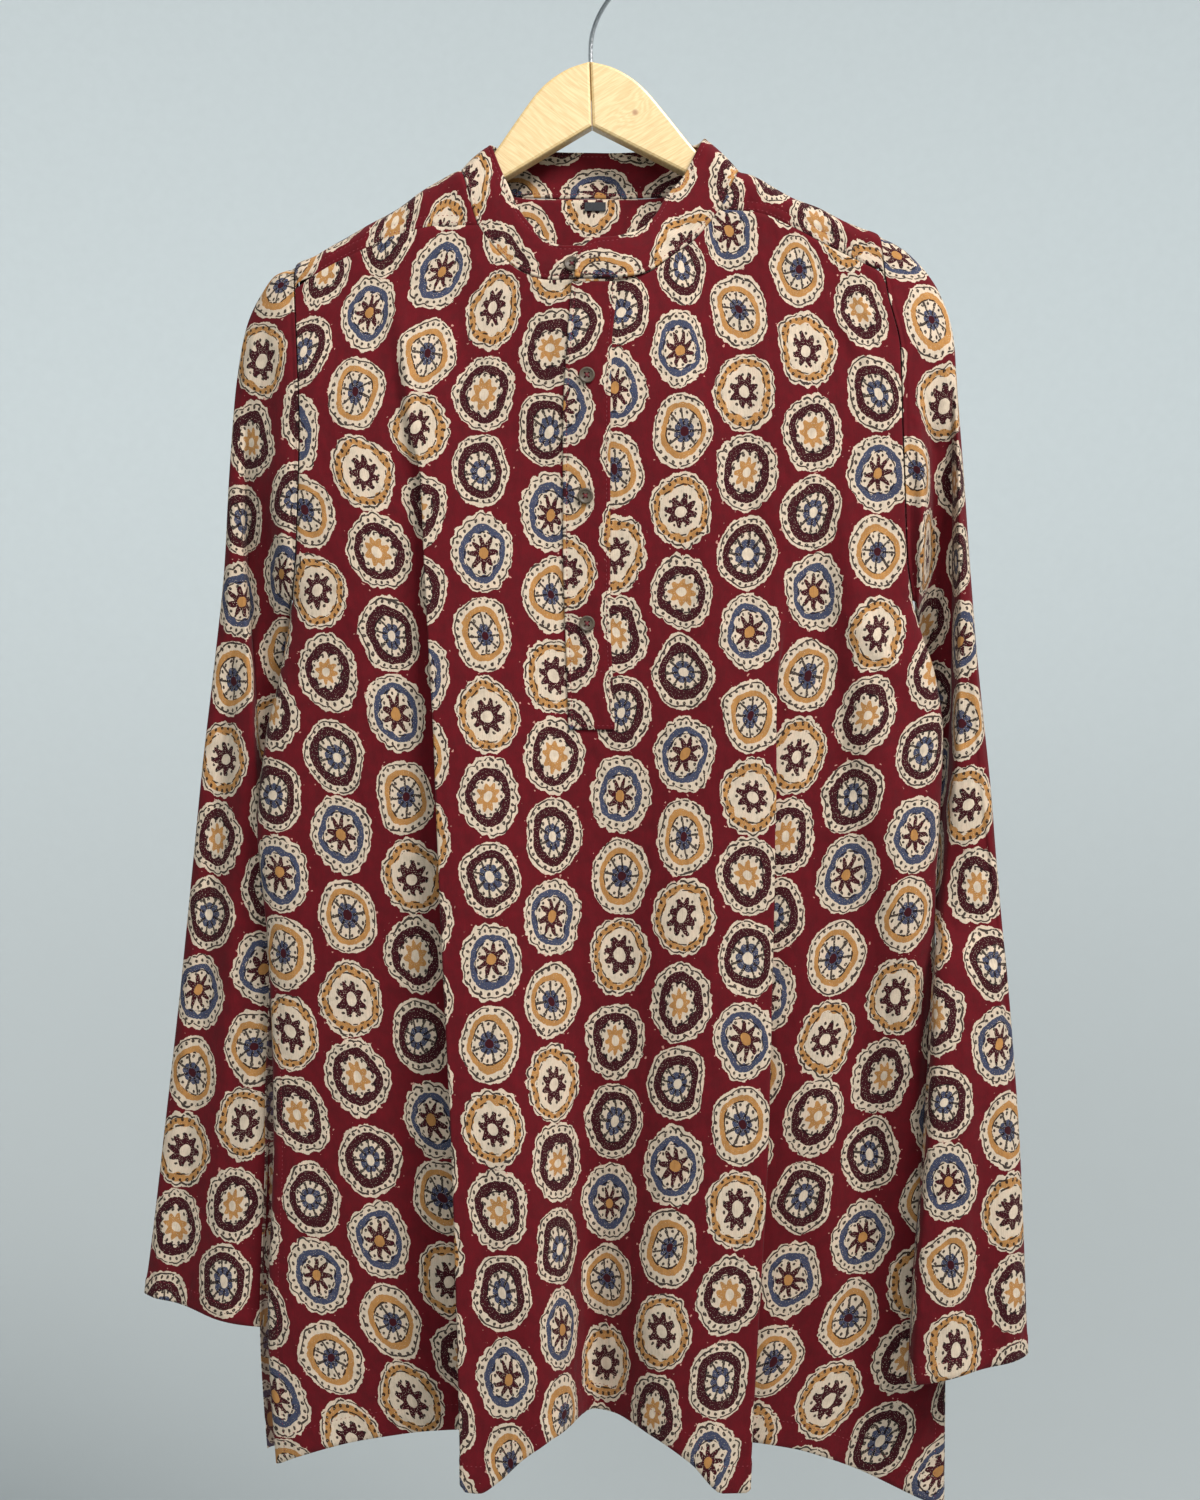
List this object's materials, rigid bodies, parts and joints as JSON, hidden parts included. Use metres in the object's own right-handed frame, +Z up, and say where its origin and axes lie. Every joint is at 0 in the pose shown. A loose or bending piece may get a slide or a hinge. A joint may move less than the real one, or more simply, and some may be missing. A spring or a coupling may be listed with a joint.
{
  "type": "kurta on wooden hanger",
  "caption": "Long-sleeved printed cotton kurta with a band collar and half placket, hanging open-collared on a wooden hanger with a wire hook.",
  "frame": {"origin": "the inner top of the hook's loop, where the hanger hangs on its rail", "axes": "+Z up, the garment's front faces -Y, +X runs to the right as seen from the front"},
  "size_m": [0.5737, 0.095, 1.015],
  "materials": {
    "print": "matt block-printed cotton",
    "buttons": "low sheen horn-brown",
    "label": "black woven ribbon",
    "wood": "clear satin lacquer",
    "steel": "bright wire"
  },
  "bodies": {
    "root": {"front": "print", "back": "print", "yoke": "print", "yoke_lining": "print", "sleeve_left": "print", "sleeve_right": "print", "collar": "print", "placket_over": "print", "placket_under": "print", "button_1": "buttons", "button_2": "buttons", "button_3": "buttons", "button_collar": "buttons", "neck_label": "label", "hanger_left": "wood", "hanger_right": "wood", "hanger_hook": "steel"}
  },
  "joints": []
}
